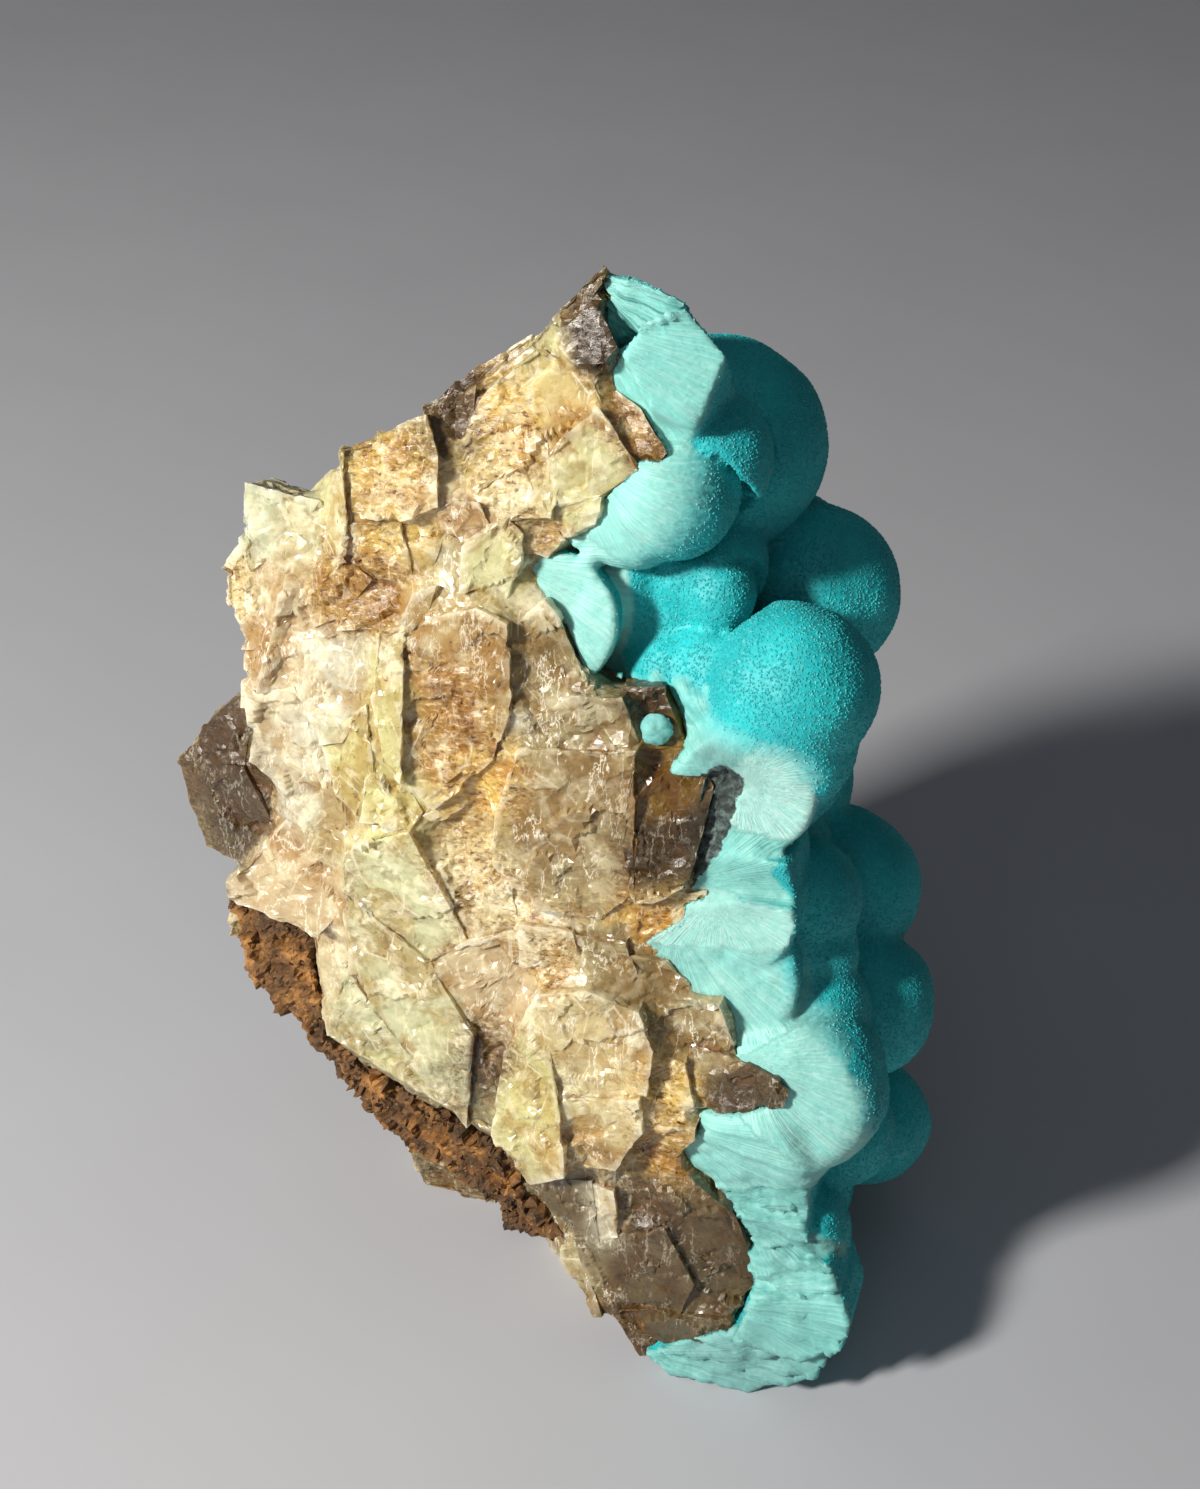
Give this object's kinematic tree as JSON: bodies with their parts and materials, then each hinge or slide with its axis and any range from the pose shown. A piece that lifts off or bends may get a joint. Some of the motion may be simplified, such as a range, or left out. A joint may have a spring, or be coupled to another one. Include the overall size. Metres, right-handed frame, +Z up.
{
  "type": "hemimorphite specimen on calcite matrix",
  "caption": "Broken block of cream, honey and rust-brown calcite, its right side covered by a blue-green domed hemimorphite crust, standing on its broken foot.",
  "frame": {"origin": "a point on the flat underside of the foot, below the specimen's mass, on the surface it stands on", "axes": "+Z up, +X towards the blue crust, the broken face with the calcite grains looks towards -Y"},
  "size_m": [0.0843, 0.0612, 0.118],
  "materials": {
    "calcite": "broken crystal faces, half glossy",
    "rind": "rough, earthy",
    "hemimorphite": "finely crystalline, satin"
  },
  "bodies": {
    "root": {"calcite_matrix": "calcite", "brown_rind": "rind", "hemimorphite_crust": "hemimorphite", "hemimorphite_nodule": "hemimorphite"}
  },
  "joints": []
}
